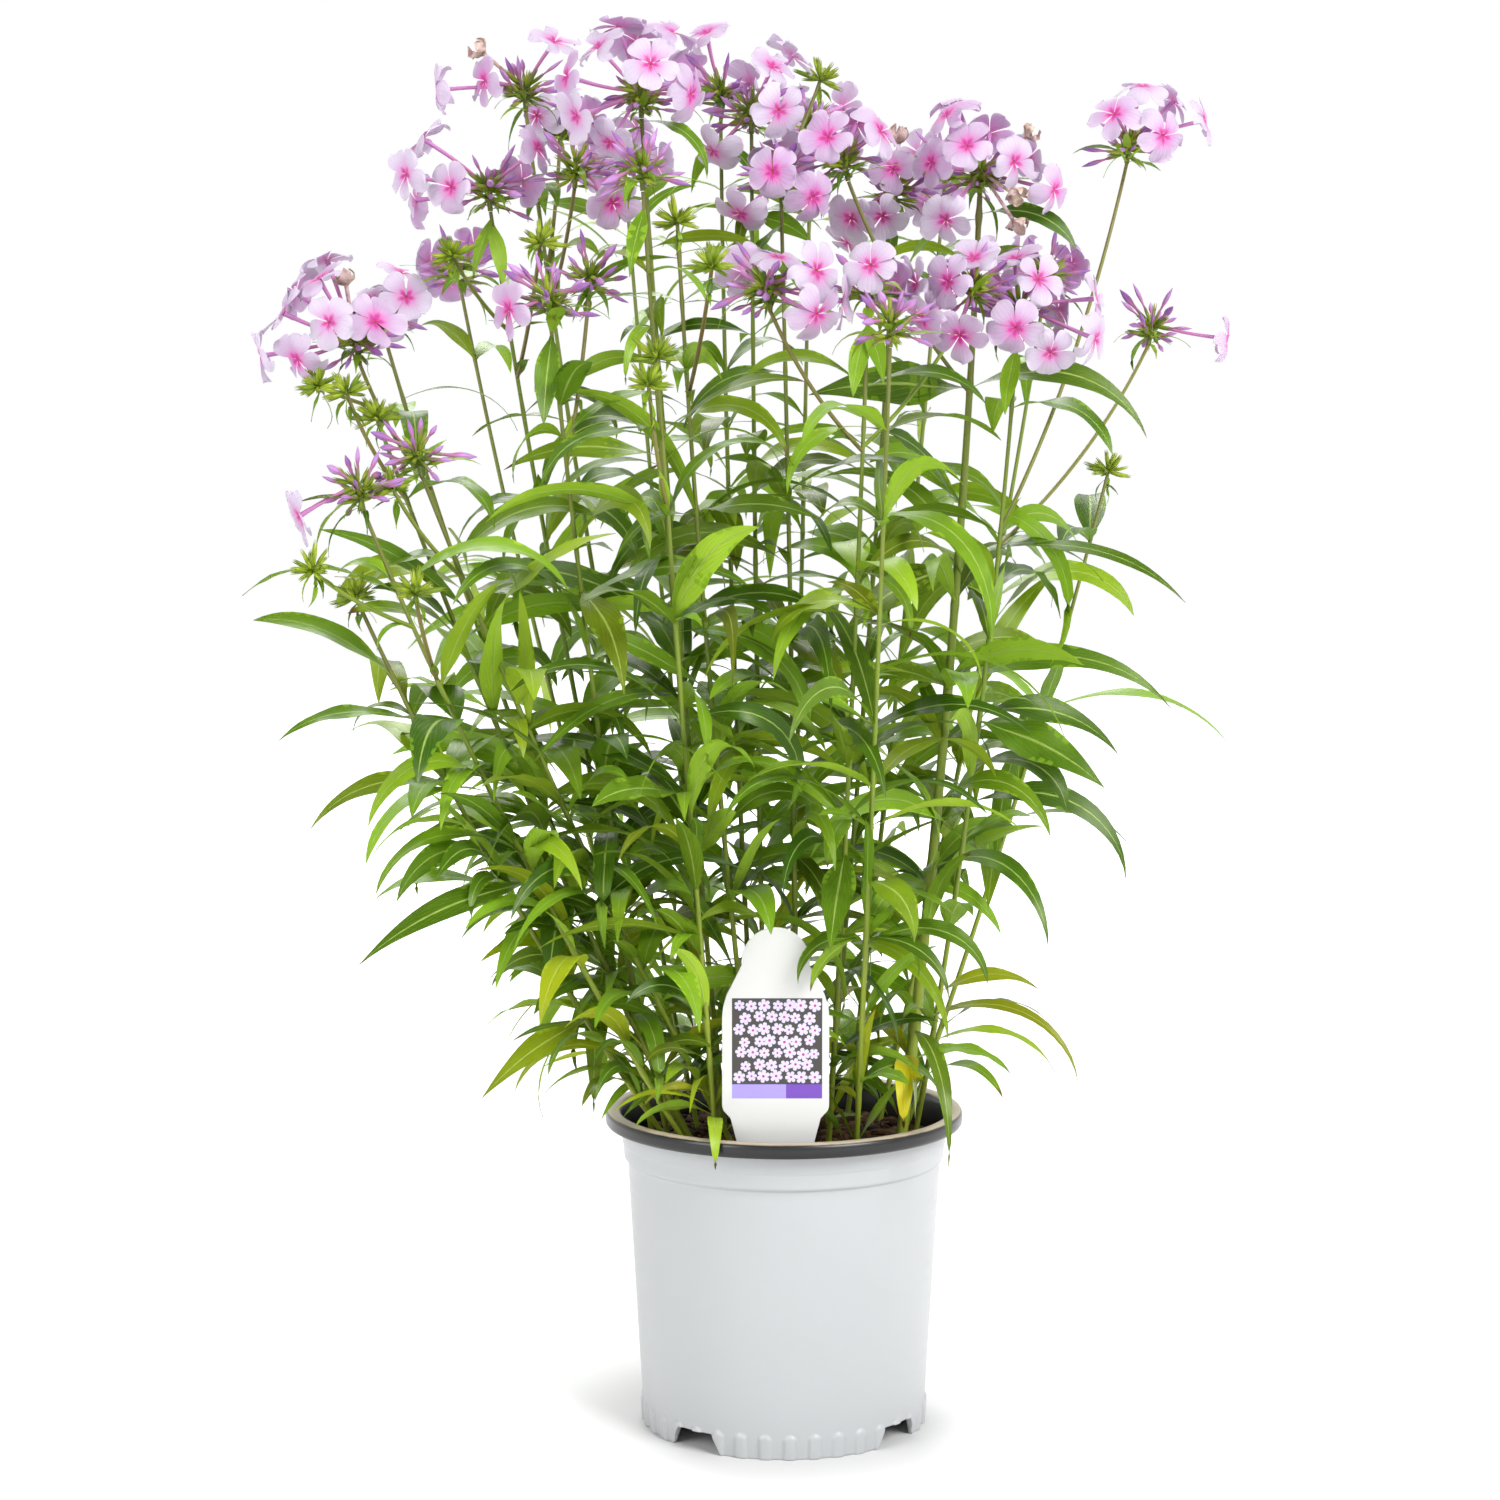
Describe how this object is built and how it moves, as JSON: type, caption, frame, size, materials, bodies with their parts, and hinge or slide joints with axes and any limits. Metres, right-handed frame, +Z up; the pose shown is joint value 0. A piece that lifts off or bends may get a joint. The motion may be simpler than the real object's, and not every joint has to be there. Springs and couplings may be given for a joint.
{
  "type": "potted phlox",
  "caption": "Flowering phlox plant: leafy upright stems with heads of five-petalled flowers, in a round plastic nursery pot with soil and a plain plant label.",
  "frame": {"origin": "on the pot's axis, on the surface that the pot's feet stand on", "axes": "+Z up along the pot's axis; -Y towards the side that the label faces; +X to the right seen from there"},
  "size_m": [0.4483, 0.339, 0.6408],
  "materials": {
    "pot": "satin bluish white, with a black rim",
    "soil": "dark crumbly potting mix with bark",
    "label": "smooth white",
    "stem": "soft green stems and leaves with a slight sheen",
    "head": "matt pale lilac-pink petals with magenta eyes"
  },
  "bodies": {
    "root": {"pot": "pot", "soil": "soil", "label": "label", "stem_01": "stem", "stem_02": "stem", "stem_03": "stem", "stem_04": "stem", "stem_05": "stem", "stem_06": "stem", "stem_07": "stem", "stem_08": "stem", "stem_09": "stem", "stem_10": "stem", "stem_11": "stem", "stem_12": "stem", "stem_13": "stem", "stem_14": "stem", "stem_15": "stem", "stem_16": "stem", "stem_17": "stem", "stem_18": "stem", "stem_19": "stem", "stem_20": "stem", "stem_21": "stem", "stem_22": "stem", "stem_23": "stem", "stem_24": "stem", "stem_25": "stem", "stem_26": "stem", "head_01": "head", "head_02": "head", "head_03": "head", "head_04": "head", "head_05": "head", "head_06": "head", "head_07": "head", "head_08": "head", "head_12": "head", "head_13": "head", "head_18": "head", "head_19": "head", "head_20": "head", "head_21": "head", "head_23": "head", "head_24": "head", "head_25": "head", "head_26": "head", "head_27": "head", "head_28": "head", "head_29": "head", "head_30": "head", "head_31": "head", "head_35": "head", "head_36": "head", "head_41": "head", "head_42": "head", "head_43": "head", "head_44": "head", "head_45": "head"}
  },
  "joints": []
}
